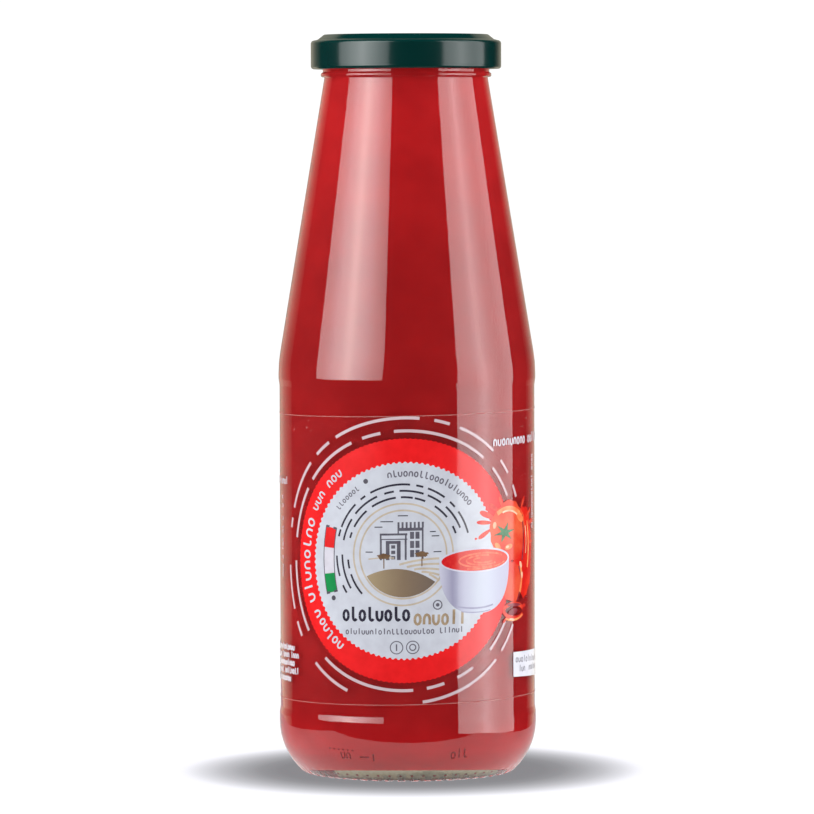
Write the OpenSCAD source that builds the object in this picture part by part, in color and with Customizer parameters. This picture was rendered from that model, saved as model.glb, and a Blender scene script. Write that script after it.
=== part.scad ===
// Sealed glass bottle of tomato passata: straight body, long conical neck and a
// 53 mm twist-off cap, with a clear film label wrapped round the body.
// Millimetres, +Z up. The origin is on the axis, in the plane the bottle stands on.
// The middle of the label's front faces -Y.

/* [Body] */
// Outer diameter over the two contact bands
body_d = 77.6; // [66:0.1:95]
// Height of the glass, from the standing ring to the sealing rim
glass_h = 222; // [180:0.5:270]
// Blend radius between the sides and the cone
shoulder_round = 40; // [5:1:60]
// Thickness of the glass wall
wall_t = 2.2; // [1.4:0.1:3]

/* [Foot] */
// Diameter at which the heel would meet the table without its rounding
foot_d = 63.4; // [52:0.1:75]
// Radial width of the flat ring that the bottle stands on, before rounding
foot_w = 4; // [2.5:0.1:6]
// Rounding between the standing ring and the heel
foot_round = 2.5; // [0.5:0.1:4]
// Height at which the heel would meet the sides without its rounding
heel_z = 6.6; // [4:0.1:9]
// Rounding of the heel
heel_round = 20; // [6:0.5:24]
// Height of the hollow under the base, at the axis
punt_h = 3; // [1.8:0.1:6]
// Thickness of the glass base, at the axis
base_t = 3.5; // [2.5:0.1:7]
// How much higher the inside floor is at the axis than at its edge
floor_rise = 2.2; // [0:0.1:3]
// Inside rounding between the floor and the wall
floor_round = 14; // [4:0.5:18]
// Number of grip notches round the standing ring
notch_count = 50; // [24:1:72]
// Width of one notch
notch_w = 1.8; // [0.8:0.1:2.2]
// Depth of one notch
notch_depth = 0.45; // [0.2:0.05:0.8]
// Width of the standing ring that the notches leave whole
notch_inset = 1.6; // [1:0.1:2.2]

/* [Label] */
// Height of the label's lower edge at the front
label_low = 23.7; // [22:0.1:32]
// Height of the label
label_h = 85.6; // [60:0.1:105]
// Thickness of the film
label_t = 0.12; // [0.06:0.02:0.16]
// Thickness of the glue between the film and the glass
glue_t = 0.05; // [0.02:0.01:0.08]
// Slant of the label on the bottle, in degrees
label_slant = 1; // [0:0.1:2]
// Bare strip between the label's two ends, at the back
label_gap = 8; // [2:0.5:60]

/* [Label panel] */
// Depth of the panel below the contact bands
panel_recess = 0.3; // [0.25:0.05:0.8]
// Bare panel under the label
panel_below = 3.7; // [2.5:0.1:6]
// Bare panel above the label
panel_above = 7.7; // [2.5:0.1:12]
// Height of the slope between a contact band and the panel
panel_slope = 2; // [1:0.5:3]
// Height of the upper contact band, up to where the cone would start
band_h = 4.7; // [2:0.1:8]

/* [Mouth and neck] */
// Outer diameter of the finish, the glass that the cap covers
finish_d = 50.2; // [40:0.1:62]
// Thickness of the glass at the mouth
mouth_t = 2.9; // [2.4:0.1:3.6]
// Rounding of the sealing rim, outside
rim_round = 1.2; // [0.8:0.1:1.4]
// How far a thread ridge stands out of the finish
thread_reach = 1.3; // [0.9:0.1:1.8]
// Height of a thread ridge where it leaves the finish
thread_h = 1.8; // [1.2:0.1:2.4]
// Number of thread ridges, and of lugs in the cap
thread_count = 4; // [3:1:6]
// Share of the turn that one thread ridge spans, in degrees
thread_span = 50; // [30:1:58]
// Bare finish between the cap and the transfer bead
bead_gap = 1.1; // [0.6:0.1:2]
// Height of the transfer bead
bead_h = 1.3; // [0.8:0.1:2]
// How far the bead stands out of the finish
bead_reach = 0.6; // [0.3:0.1:1.4]
// Height of the straight neck under the bead
neck_h = 3.1; // [1.5:0.1:8]
// How far the neck lies inside the finish
neck_inset = 0.6; // [0.2:0.1:1.2]

/* [Contents] */
// Distance from the sealing rim down to the passata
headspace = 7.5; // [4:0.1:12]

/* [Cap] */
// Depth of the cap, from its top ring to its rolled edge
cap_h = 10.4; // [8.5:0.1:13]
// Thickness of the cap's lined tinplate
cap_t = 0.5; // [0.3:0.05:0.6]
// Radius of the rolled edge
curl_r = 0.9; // [0.7:0.05:1.1]
// Clearance between the thread ridges and the rolled edge
thread_gap = 0.5; // [0.3:0.1:0.8]
// Clearance between the cap's lugs and the finish
lug_gap = 0.4; // [0.2:0.1:0.6]
// Share of the turn that one lug spans, in degrees
lug_span = 18; // [10:1:24]
// Drop from the raised ring on top to the cap's shoulder
shoulder_drop = 1.5; // [1:0.1:2]
// How far inside the mouth the centre panel's slope starts
dish_inset = 1.8; // [1:0.1:3]
// Depth of the centre panel below the raised ring
dish_depth = 0.9; // [0.4:0.1:1.5]
// Diameter of the safety button
button_d = 19; // [12:0.5:26]
// Height of the safety button above the centre panel
button_h = 0.5; // [0.2:0.1:0.9]

/* [Hidden] */
$fn = 96;

// Turn of one flat of a rounded outline, in degrees
arc_step = 5;
// How far pieces that are joined reach into each other
bite = 0.6;
// How far cutting shapes reach past what they cut
past = 5;

body_r = body_d / 2;
panel_r = body_r - panel_recess;
panel_low = label_low - panel_below;
panel_high = label_low + label_h + panel_above;
shoulder_z = panel_high + panel_slope + band_h;
inside_r = panel_r - wall_t;
foot_r = foot_d / 2;
finish_r = finish_d / 2;
bore_r = finish_r - mouth_t;
rim_mid_r = (finish_r + bore_r) / 2;
rim_round_in = 0.6;
thread_r = finish_r + thread_reach;
bead_r = finish_r + bead_reach;
bead_round = 0.5;
neck_r = finish_r - neck_inset;

// Heights of the mouth, counted down from the rim and the cap that sits on it
cap_top = glass_h + cap_t;
cap_low = cap_top - cap_h;
bead_top = cap_low - bead_gap;
bead_low = bead_top - bead_h;
neck_z = bead_low - neck_h;

// Cone: its half angle, and how far inwards its inner face lies, measured level
cone_angle = atan((body_r - neck_r) / (neck_z - shoulder_z));
cone_wall = wall_t / cos(cone_angle);
function inner_cone_z(r) = shoulder_z + (body_r - cone_wall - r) / tan(cone_angle);

// Punt: a shallow dome that starts on a short slope inside the standing ring
punt_slope = 1.2;
punt_r = foot_r - foot_w - punt_slope;
dome_rise = punt_h - punt_slope;
dome_r = (punt_r * punt_r + dome_rise * dome_rise) / (2 * dome_rise);
dome_steps = 8;
foot_edge_round = 0.6;
floor_z = punt_h + base_t;

cap_r = thread_r + thread_gap + 2 * curl_r;
curl_z = cap_low + curl_r;
ring_r = finish_r - 0.1;
ring_in_r = bore_r - dish_inset;
shoulder_top = cap_top - shoulder_drop;
step_slope = 1.6;
cap_round = 1;
ledge_fall = 0.5;
dish_slope = 0.8;
button_slope = 1.5;
// Angle, seen from the curl's centre, at which the roll meets the skirt's inner face
curl_meet = acos(1 - cap_t / curl_r);

lug_top = cap_low + 2 * curl_r;
lug_edge = 0.3;
thread_tip_h = 0.8;

// ---- Outlines -------------------------------------------------------------

function turn(a) = a > 180 ? a - 360 : a <= -180 ? a + 360 : a;
function bearing(v) = atan2(v[1], v[0]);
function flat(p) = [p[0], p[1]];

// Points of an arc, ends included
function arc(centre, r, from, sweep) =
    let (n = max(1, ceil(abs(sweep) / arc_step)))
    [for (i = [0:n]) centre + r * [cos(from + sweep * i / n), sin(from + sweep * i / n)]];

// Half of the angle between the two sides that meet at corner i
function half_angle(c, i) =
    let (u = flat(c[i - 1]) - flat(c[i]), v = flat(c[i + 1]) - flat(c[i]))
    abs(turn(bearing(u) - bearing(v))) / 2;

// Length of side that the rounding of corner i asks for
function wanted(c, i) =
    i <= 0 || i >= len(c) - 1 || c[i][2] == 0 ? 0 : c[i][2] / tan(half_angle(c, i));

// Share of what they ask for that two neighbours get on the side between them
function share(c, i, j) =
    norm(flat(c[i]) - flat(c[j])) / max(wanted(c, i) + wanted(c, j), 0.001);

// Corner i as an arc that touches both of its sides
function bend(c, i) =
    let (
        q = flat(c[i]),
        u = (flat(c[i - 1]) - q) / norm(flat(c[i - 1]) - q),
        v = (flat(c[i + 1]) - q) / norm(flat(c[i + 1]) - q),
        reach = wanted(c, i) * min(1, share(c, i - 1, i), share(c, i, i + 1)),
        r = reach * tan(half_angle(c, i)),
        centre = q + (u + v) / norm(u + v) * r / sin(half_angle(c, i)),
        from = bearing(q + u * reach - centre),
        to = bearing(q + v * reach - centre)
    )
    arc(centre, r, from, turn(to - from));

// Outline through corners [radius, height, rounding]; its two ends stay sharp
function rounded(c) =
    [for (i = [0:len(c) - 1]) each wanted(c, i) == 0 ? [flat(c[i])] : bend(c, i)];

function backwards(points) = [for (i = [len(points) - 1:-1:0]) points[i]];

// Underside of the base, from the axis out to the standing ring's inner edge
function punt_outline() =
    let (edge_angle = asin(punt_r / dome_r))
    [for (i = [0:dome_steps - 1])
        let (a = edge_angle * i / dome_steps)
        [dome_r * sin(a), punt_h - dome_r * (1 - cos(a))]];

function outer_corners() = [
    [punt_r, punt_slope, 0],
    [foot_r - foot_w, 0, foot_edge_round],
    [foot_r, 0, foot_round],
    [body_r, heel_z, heel_round],
    [body_r, panel_low - panel_slope, 4],
    [panel_r, panel_low, 4],
    [panel_r, panel_high, 4],
    [body_r, panel_high + panel_slope, 4],
    [body_r, shoulder_z, shoulder_round],
    [neck_r, neck_z, 3],
    [neck_r, bead_low, 0.3],
    [bead_r, bead_low, bead_round],
    [bead_r, bead_top, bead_round],
    [finish_r, bead_top, 0.3],
    [finish_r, glass_h, rim_round],
    [rim_mid_r, glass_h, 0]
];

// Inside of the glass, from the axis up to the height top
function inner_corners(top) = [
    [0, floor_z, 0],
    [inside_r, floor_z - floor_rise, floor_round],
    [inside_r, inner_cone_z(inside_r), shoulder_round],
    [bore_r, inner_cone_z(bore_r), 6],
    [bore_r, top, top == glass_h ? rim_round_in : 0],
    [top == glass_h ? rim_mid_r : 0, top, 0]
];

// ---- Glass ----------------------------------------------------------------

module notches() {
    reach = foot_w - notch_inset;
    for (i = [0:notch_count - 1])
        rotate([0, 0, (i + 0.5) * 360 / notch_count])
            translate([foot_r - reach, 0, 0])
                rotate([90, 0, 90])
                    linear_extrude(reach + past)
                        polygon([[-notch_w / 2, -past], [notch_w / 2, -past],
                                 [notch_w / 2, 0], [notch_w / 4, notch_depth],
                                 [-notch_w / 4, notch_depth], [-notch_w / 2, 0]]);
}

module thread_ridge() {
    rotate_extrude(angle = thread_span)
        polygon([[finish_r - bite, lug_top],
                 [thread_r, lug_top],
                 [thread_r, lug_top + thread_tip_h],
                 [finish_r, lug_top + thread_h],
                 [finish_r - bite, lug_top + thread_h]]);
}

module bottle() {
    color([0.78, 0.88, 0.84, 0.35]) {
        difference() {
            rotate_extrude()
                polygon(concat(punt_outline(),
                               rounded(outer_corners()),
                               backwards(rounded(inner_corners(glass_h)))));
            notches();
        }
        for (i = [0:thread_count - 1])
            rotate([0, 0, i * 360 / thread_count])
                thread_ridge();
    }
}

// ---- Contents -------------------------------------------------------------

module passata() {
    color([0.6, 0.11, 0.1])
        rotate_extrude()
            polygon(rounded(inner_corners(glass_h - headspace)));
}

// ---- Cap ------------------------------------------------------------------

// Top face of the cap, from the axis out to the skirt
function cap_corners() = [
    [0, cap_top - dish_depth + button_h, 0],
    [button_d / 2 - button_slope, cap_top - dish_depth + button_h, 3],
    [button_d / 2, cap_top - dish_depth, 3],
    [ring_in_r - dish_slope, cap_top - dish_depth, 1],
    [ring_in_r, cap_top, 0.6],
    [ring_r, cap_top, 0.8],
    [ring_r + step_slope, shoulder_top, 0.6],
    [cap_r, shoulder_top - ledge_fall, cap_round],
    [cap_r, curl_z, 0]
];

// Inner face of the sheet, cap_t below and inside the outer one
function lining_corners() = [
    [cap_r - cap_t, curl_z + curl_r * sin(curl_meet), 0],
    [cap_r - cap_t, shoulder_top - ledge_fall - cap_t, cap_round - cap_t],
    [ring_r + step_slope - cap_t / 2, shoulder_top - cap_t, 0.8],
    [ring_r - cap_t / 2, cap_top - cap_t, 0.3],
    [ring_in_r + cap_t / 2, cap_top - cap_t, 0.3],
    [ring_in_r - dish_slope + cap_t / 2, cap_top - dish_depth - cap_t, 1],
    [button_d / 2, cap_top - dish_depth - cap_t, 3],
    [button_d / 2 - button_slope, cap_top - dish_depth + button_h - cap_t, 3],
    [0, cap_top - dish_depth + button_h - cap_t, 0]
];

function curl_outline() =
    let (whole = arc([cap_r - curl_r, curl_z], curl_r, 0, curl_meet - 360))
    [for (i = [1:len(whole) - 2]) whole[i]];

module lug() {
    lug_r = finish_r + lug_gap;
    rotate_extrude(angle = lug_span)
        polygon([[lug_r, cap_low + lug_edge],
                 [cap_r - curl_r, cap_low + lug_edge],
                 [cap_r - curl_r, lug_top],
                 [lug_r, lug_top]]);
}

module cap() {
    color([0.03, 0.21, 0.18]) {
        rotate_extrude()
            polygon(concat(rounded(cap_corners()), curl_outline(),
                           rounded(lining_corners())));
        for (i = [0:thread_count - 1])
            rotate([0, 0, i * 360 / thread_count + (thread_span - lug_span) / 2])
                lug();
    }
}

// ---- Label ----------------------------------------------------------------

module label() {
    film_r = panel_r + glue_t;
    height = label_h + 2 * body_r * sin(label_slant) + past;
    color([0.93, 0.94, 0.95, 0.3])
        translate([0, 0, label_low + label_h / 2])
            difference() {
                intersection() {
                    difference() {
                        cylinder(r = film_r + label_t, h = height, center = true);
                        cylinder(r = film_r, h = height + past, center = true);
                    }
                    rotate([0, -label_slant, 0])
                        cube([2 * body_d, 2 * body_d, label_h], center = true);
                }
                translate([-label_gap / 2, 0, -height / 2 - past])
                    cube([label_gap, body_d, height + 2 * past]);
            }
}

bottle();
passata();
cap();
label();
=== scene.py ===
import math
import random

import bmesh
import bpy
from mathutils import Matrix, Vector


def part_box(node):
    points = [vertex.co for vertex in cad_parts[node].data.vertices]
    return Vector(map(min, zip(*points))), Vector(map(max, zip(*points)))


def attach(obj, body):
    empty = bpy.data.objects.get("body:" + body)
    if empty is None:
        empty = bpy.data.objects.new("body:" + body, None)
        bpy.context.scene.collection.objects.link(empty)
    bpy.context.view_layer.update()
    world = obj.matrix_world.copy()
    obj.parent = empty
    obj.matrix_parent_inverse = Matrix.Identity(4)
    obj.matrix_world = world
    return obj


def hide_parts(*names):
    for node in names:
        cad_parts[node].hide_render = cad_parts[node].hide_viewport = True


MM = 0.001

# Sizes in millimetres that the frame's boxes don't give, as in the part's source.
FINISH_R, BORE_R = 25.1, 22.2  # the glass under the cap, and its bore
BEAD_R, BEAD_H, BEAD_DROP = 25.7, 1.3, 12.3  # the bead, and how far its foot is below the mouth
NECK_R = 24.6  # the cone where it meets the bead
SHOULDER_Z, SHOULDER_ROUND = 123.7, 40  # where the sides and the cone would meet
BAND_TOP, PANEL_LOW, PANEL_HIGH = 18, 20, 117  # the lower contact band and the label panel
PANEL_SLOPE, PANEL_RECESS = 2, 0.3
HEEL_Z, HEEL_ROUND = 6.6, 20  # where the heel and the sides would meet
FOOT_IN, FOOT_OUT, FOOT_ROUND = 27.7, 31.7, 2.5  # the standing ring
PUNT_H, PUNT_R = 3, 26.5  # the hollow under the base
FLOOR_Z, FLOOR_ROUND = 6.5, 14  # the inside floor
NOTCHES, NOTCH_INSET, NOTCH_DEPTH = 50, 1.6, 0.45
FILM_H, FILM_T, FILM_GAP = 85.6, 0.12, 8  # height, thickness, bare strip between its ends
SLANT = math.tan(math.radians(1))  # the label's slant on the bottle

# ---------------------------------------------------------------- the frame


def read_frame():
    """The low and high corner of each CAD solid, in millimetres."""
    boxes = {}
    for node in ("bottle", "passata", "cap", "label"):
        low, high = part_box(node)
        boxes[node] = ([v / MM for v in low], [v / MM for v in high])
    return boxes


# ---------------------------------------------------------------- outlines


def rounded(corners, step=6):
    """An outline of (r, z) points, in which each corner (r, z, radius) is an arc."""
    points = []
    for i, (r, z, radius) in enumerate(corners):
        here = Vector((r, z))
        if radius == 0 or i in (0, len(corners) - 1):
            points.append((r, z))
            continue
        a = Vector(corners[i - 1][:2]) - here
        b = Vector(corners[i + 1][:2]) - here
        half = a.angle(b) / 2
        reach = radius / math.tan(half)
        a.normalize()
        b.normalize()
        centre = here + (a + b).normalized() * (radius / math.sin(half))
        start = here + a * reach - centre
        turn = math.pi - 2 * half
        if start.x * a.y > start.y * a.x:
            turn = -turn
        count = max(2, round(abs(math.degrees(turn)) / step))
        for k in range(count + 1):
            t = turn * k / count
            points.append((
                centre.x + start.x * math.cos(t) - start.y * math.sin(t),
                centre.y + start.x * math.sin(t) + start.y * math.cos(t),
            ))
    return points


def turned(u, v, turn):
    """Places (s, t) at (u, v), turned by some degrees."""
    c, n = math.cos(math.radians(turn)), math.sin(math.radians(turn))
    return lambda s, t: (u + s * c - t * n, v + s * n + t * c)


def oval(u, v, a, b, turn=0, first=0, last=360, count=48):
    """The points of an ellipse, or of the part of it between two angles."""
    place = turned(u, v, turn)
    whole = last - first == 360
    steps = count if whole else max(3, round(count * (last - first) / 360))
    return [place(a * math.cos(math.radians(first + (last - first) * k / steps)),
                  b * math.sin(math.radians(first + (last - first) * k / steps)))
            for k in range(steps if whole else steps + 1)]


# ---------------------------------------------------------------- meshes


SHARP = math.radians(35)


def new_object(name, bm, material):
    """A finished piece: its mesh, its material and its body."""
    bmesh.ops.recalc_face_normals(bm, faces=bm.faces)
    for face in bm.faces:
        face.smooth = True
    for edge in bm.edges:
        if len(edge.link_faces) == 2 and edge.calc_face_angle(0) > SHARP:
            edge.smooth = False
    mesh = bpy.data.meshes.new(name)
    bm.to_mesh(mesh)
    bm.free()
    obj = bpy.data.objects.new(name, mesh)
    bpy.context.scene.collection.objects.link(obj)
    obj.data.materials.append(material)
    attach(obj, "root")
    return obj


def lathe(outline, segments, lift=None):
    """Turns an outline of (r, z) round the axis; lift(r, z, k) raises point k of a ring."""
    bm = bmesh.new()
    rings = []
    for r, z in outline:
        if r < 1e-6:
            rings.append([bm.verts.new((0, 0, z * MM))] * segments)
            continue
        row = []
        for k in range(segments):
            a = 2 * math.pi * k / segments
            up = z + (lift(r, z, k) if lift else 0)
            row.append(bm.verts.new((r * MM * math.cos(a), r * MM * math.sin(a), up * MM)))
        rings.append(row)
    closed = outline[0][0] > 1e-6
    pairs = list(zip(rings, rings[1:])) + ([(rings[-1], rings[0])] if closed else [])
    for low, high in pairs:
        for k in range(segments):
            n = (k + 1) % segments
            corner = []
            for v in (low[k], low[n], high[n], high[k]):
                if v not in corner:
                    corner.append(v)
            if len(corner) > 2:
                bm.faces.new(corner)
    return bm


# ---------------------------------------------------------------- materials


def blank_material(name):
    """A new material, its node tree and its Principled node."""
    material = bpy.data.materials.new(name)
    material.use_nodes = True
    tree = material.node_tree
    return material, tree, tree.nodes["Principled BSDF"]


def maths(tree, operation, first, second, third=None):
    """A Math node on sockets or plain numbers; returns its output."""
    node = tree.nodes.new("ShaderNodeMath")
    node.operation = operation
    for socket, value in zip(node.inputs, (first, second, third)):
        if isinstance(value, (int, float)):
            socket.default_value = value
        elif value is not None:
            tree.links.new(value, socket)
    return node.outputs[0]


def level_ramp(tree, coordinate, levels):
    """A grey level along a coordinate, from (place, level) pairs."""
    ramp = tree.nodes.new("ShaderNodeValToRGB")
    ramp.color_ramp.interpolation = "CARDINAL"
    first, last = ramp.color_ramp.elements
    first.position, first.color = levels[0][0], (*[levels[0][1]] * 3, 1)
    last.position, last.color = levels[-1][0], (*[levels[-1][1]] * 3, 1)
    for at, level in levels[1:-1]:
        ramp.color_ramp.elements.new(at).color = (level, level, level, 1)
    tree.links.new(coordinate, ramp.inputs["Fac"])
    return ramp.outputs["Color"]


def multiplied(tree, first, second):
    """Two colours, multiplied; the second may be plain numbers."""
    node = tree.nodes.new("ShaderNodeVectorMath")
    node.operation = "MULTIPLY"
    tree.links.new(first, node.inputs[0])
    if isinstance(second, tuple):
        node.inputs[1].default_value = second
    else:
        tree.links.new(second, node.inputs[1])
    return node.outputs[0]


def place_in(tree, kind):
    """The X, Y and Z outputs of a point's place in its own object or in the room."""
    place = tree.nodes.new("ShaderNodeTexCoord")
    split = tree.nodes.new("ShaderNodeSeparateXYZ")
    tree.links.new(place.outputs[kind], split.inputs[0])
    return split.outputs


def noise_node(tree, scale, detail=3):
    """Soft noise fixed to the object."""
    place = tree.nodes.new("ShaderNodeTexCoord")
    noise = tree.nodes.new("ShaderNodeTexNoise")
    noise.inputs["Scale"].default_value = scale
    noise.inputs["Detail"].default_value = detail
    tree.links.new(place.outputs["Object"], noise.inputs["Vector"])
    return noise


def mottle(tree, shader, one, two, scale, low=0.35, high=0.65, detail=3):
    """The base colour wanders between two colours."""
    noise = noise_node(tree, scale, detail)
    ramp = tree.nodes.new("ShaderNodeValToRGB")
    ramp.color_ramp.elements[0].position = low
    ramp.color_ramp.elements[0].color = (*one, 1)
    ramp.color_ramp.elements[1].position = high
    ramp.color_ramp.elements[1].color = (*two, 1)
    tree.links.new(noise.outputs["Fac"], ramp.inputs["Fac"])
    tree.links.new(ramp.outputs["Color"], shader.inputs["Base Color"])
    return ramp


def fade(tree, shader, axis, low, high, stops, scale=300, stray=0.12):
    """The base colour goes through some colours along an axis, from low to high in mm."""
    along = maths(tree, "MULTIPLY_ADD", place_in(tree, "Object")[axis],
                  1 / ((high - low) * MM), -low / (high - low) - stray / 2)
    noise = noise_node(tree, scale)
    along = maths(tree, "MULTIPLY_ADD", noise.outputs["Fac"], stray, along)
    ramp = tree.nodes.new("ShaderNodeValToRGB")
    first, last = ramp.color_ramp.elements
    first.color, last.color = (*stops[0], 1), (*stops[-1], 1)
    for k, stop in enumerate(stops[1:-1], 1):
        ramp.color_ramp.elements.new(k / (len(stops) - 1)).color = (*stop, 1)
    tree.links.new(along, ramp.inputs["Fac"])
    tree.links.new(ramp.outputs["Color"], shader.inputs["Base Color"])


def bumps(tree, shader, scale, strength, distance):
    """Slight waves in the surface."""
    noise = noise_node(tree, scale, 2)
    bump = tree.nodes.new("ShaderNodeBump")
    bump.inputs["Strength"].default_value = strength
    bump.inputs["Distance"].default_value = distance
    tree.links.new(noise.outputs["Fac"], bump.inputs["Height"])
    tree.links.new(bump.outputs["Normal"], shader.inputs["Normal"])


def glass_material():
    """Clear glass, faintly green and a little wavy."""
    material, tree, shader = blank_material("glass")
    shader.inputs["Base Color"].default_value = (0.93, 0.96, 0.90, 1)
    shader.inputs["Roughness"].default_value = 0.0
    shader.inputs["IOR"].default_value = 1.5
    shader.inputs["Transmission Weight"].default_value = 1.0
    bumps(tree, shader, 45, 0.05, 0.0004)
    return material


def passata_material(level):
    """Thick tomato with painted light: its colour is brighter low down and in the neck than in the
    middle.
    """
    material, tree, shader = blank_material("passata")
    ramp = mottle(tree, shader, (0.81, 0.0147, 0.0217), (0.98, 0.0203, 0.0273), 90, 0.3, 0.7, 6)
    height = maths(tree, "MULTIPLY", place_in(tree, "Object")["Z"], 1 / (level * MM))
    # painted light: a ramp up the height makes the sauce brighter at the heel and in the neck
    painted_light = level_ramp(tree, height, ((0.02, 1.0), (0.045, 0.9), (0.075, 0.63), (0.11, 0.54),
                                     (0.16, 0.53), (0.5, 0.505), (0.65, 0.49), (0.78, 0.56),
                                     (0.97, 0.68)))
    tree.links.new(multiplied(tree, ramp.outputs["Color"], painted_light), shader.inputs["Base Color"])
    shader.inputs["Roughness"].default_value = 0.6
    shader.inputs["Specular IOR Level"].default_value = 0.1
    return material


def cap_material():
    """Gloss dark green lacquer, with the faint grain of sprayed lacquer."""
    material, tree, shader = blank_material("cap_lacquer")
    mottle(tree, shader, (0.0005, 0.024, 0.022), (0.001, 0.029, 0.026), 30)
    shader.inputs["Roughness"].default_value = 0.16
    shader.inputs["IOR"].default_value = 1.38
    bumps(tree, shader, 900, 0.03, 0.0002)
    return material


def film_material():
    """Clear film: almost nothing but its haze and cut edges shows."""
    material, tree, shader = blank_material("film")
    mottle(tree, shader, (0.80, 0.76, 0.78), (0.9, 0.86, 0.88), 40)
    shader.inputs["Roughness"].default_value = 0.25
    shader.inputs["Alpha"].default_value = 0.004
    shader.inputs["Specular IOR Level"].default_value = 0.0
    return material


def ink_gloss(shader):
    """The gloss of the film over the ink."""
    shader.inputs["Roughness"].default_value = 0.12
    shader.inputs["IOR"].default_value = 1.41


def print_material(name, one, two, scale=260):
    """Printing ink under the film's gloss, a little uneven."""
    material, tree, shader = blank_material(name)
    mottle(tree, shader, one, two, scale)
    ink_gloss(shader)
    return material


# ---------------------------------------------------------------- bottle, passata, cap

PER_NOTCH = 8  # points of a ring in each notch's pitch
CUT = range(3, 6)  # which of them the notch lifts


def outer_glass(boxes):
    """The outside of the glass, from the middle of the punt up to the mouth."""
    r, _, top = boxes["bottle"][1]
    panel_r = r - PANEL_RECESS
    bead = top - BEAD_DROP
    punt = [(0, PUNT_H, 0), (13.5, 2.55, 60), (PUNT_R, 1.2, 0)]
    foot = [(FOOT_IN, 0, 0.6), (FOOT_OUT, 0, FOOT_ROUND), (r, HEEL_Z, HEEL_ROUND)]
    panel = [(r, BAND_TOP, 2.5), (panel_r, PANEL_LOW, 2.5), (panel_r, PANEL_HIGH, 4),
             (r, PANEL_HIGH + PANEL_SLOPE, 4)]
    neck = [(r, SHOULDER_Z, SHOULDER_ROUND), (NECK_R, bead, 0.3), (BEAD_R, bead, 0.5),
            (BEAD_R, bead + BEAD_H, 0.5), (FINISH_R, bead + BEAD_H, 0.3)]
    mouth = [(FINISH_R, top, 1.2), (BORE_R, top, 0.6), (BORE_R, top - 1.5, 0)]
    return rounded(punt + foot + panel + neck + mouth, 5)


def inner_glass(boxes):
    """The inside of the glass, from the middle of the floor up."""
    top = boxes["bottle"][1][2]
    r = boxes["passata"][1][0]
    return rounded([
        (0, FLOOR_Z, 0), (18, FLOOR_Z - 0.4, 90), (r, FLOOR_Z - 2.2, FLOOR_ROUND),
        (r, SHOULDER_Z + 1.7, SHOULDER_ROUND), (BORE_R, top - 14.7, 6), (BORE_R, top - 1.5, 0),
    ], 5)


def notch_lift(r, z, k):
    """The cuts in the foot, which fade out at the top of its rounding."""
    if z < FOOT_ROUND and r > FOOT_IN + NOTCH_INSET and k % PER_NOTCH in CUT:
        return NOTCH_DEPTH * (1 - z / FOOT_ROUND)
    return 0


def make_glass(boxes):
    """The glass, as one closed shell."""
    outline = outer_glass(boxes)[:-1] + inner_glass(boxes)[::-1]
    obj = new_object("glass_bottle", lathe(outline, NOTCHES * PER_NOTCH, notch_lift),
                     glass_material())
    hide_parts("bottle")


def make_passata(boxes):
    """The passata, which reaches just into the wall so that no air shows."""
    level = boxes["passata"][1][2]
    into = 0.12
    inside = [(r + (into if r > 1 else 0), z - (into if z < 10 else 0))
              for r, z in inner_glass(boxes) if z < level]
    inside += [(BORE_R + into, level), (0, level)]
    obj = new_object("passata_fill", lathe(inside, 192), passata_material(level))
    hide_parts("passata")


def make_cap(boxes):
    """The cap: a button in a sunk panel, a raised ring, a step and a rolled edge."""
    low, high = boxes["cap"]
    r, top, bottom = high[0], high[2], low[2]
    sheet, curl_r = 0.5, 0.9
    button, panel = top - 0.4, top - 0.9
    outside = rounded([
        (0, button, 0), (9.0, button, 0.4), (10.0, panel, 0.4), (20.2, panel, 0.4),
        (20.8, top, 0.5), (24.7, top, 0.6), (26.6, top - 1.5, 0.5), (r, top - 2.0, 1.0),
        (r, bottom + 1.2, 0),
    ], 9)
    curl = oval(r - curl_r, bottom + curl_r, curl_r, curl_r, 0, -200, 20, 26)[::-1]
    inside = rounded([
        (r - sheet, bottom + 2.4, 0), (r - sheet, top - 2.4, 0.6), (26.4, top - 2.0, 0.3),
        (24.5, top - sheet, 0.3), (21.0, top - sheet, 0.3), (20.4, panel - sheet, 0.3),
        (0, panel - sheet, 0),
    ], 15)
    obj = new_object("cap_closure", lathe(outside + curl + inside, 192), cap_material())
    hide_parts("cap")


# ---------------------------------------------------------------- label

PRINT_DROP, PRINT_TURN = 0.5, -1.2  # the print's centre from the film's: mm down, degrees right
LAYER = 0.014  # how far one printed layer stands above the next
SUNK = 0.02  # how far the back of the print lies in the film
STRIP = 1.5  # width of the strips that a flat outline is cut in before it is bent
EMBLEM = (-0.5, 2.4)  # the middle of the picture
RED_R, PALE_R = 37.0, 29.9  # the two discs
OUTER_R, INNER_R, DASH_WIDE = 43.1, 39.2, 0.9  # the two broken rings round them
FLAT = 0.983  # the discs and rings are a little less high than wide


class Wrap:
    """Maps the label's flat (u, v), in millimetres from the print's centre, onto the film."""

    def __init__(self, boxes):
        low, high = boxes["label"]
        self.r = high[0]
        self.middle = math.radians(PRINT_TURN)
        self.z = (low[2] + high[2]) / 2 - PRINT_DROP
        self.half = (high[2] - low[2]) / 2 - self.r * SLANT

    def point(self, u, v, r):
        a = self.middle + u / self.r
        return Vector((r * math.sin(a), -r * math.cos(a),
                       self.z + v + r * math.sin(a) * SLANT)) * MM


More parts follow.
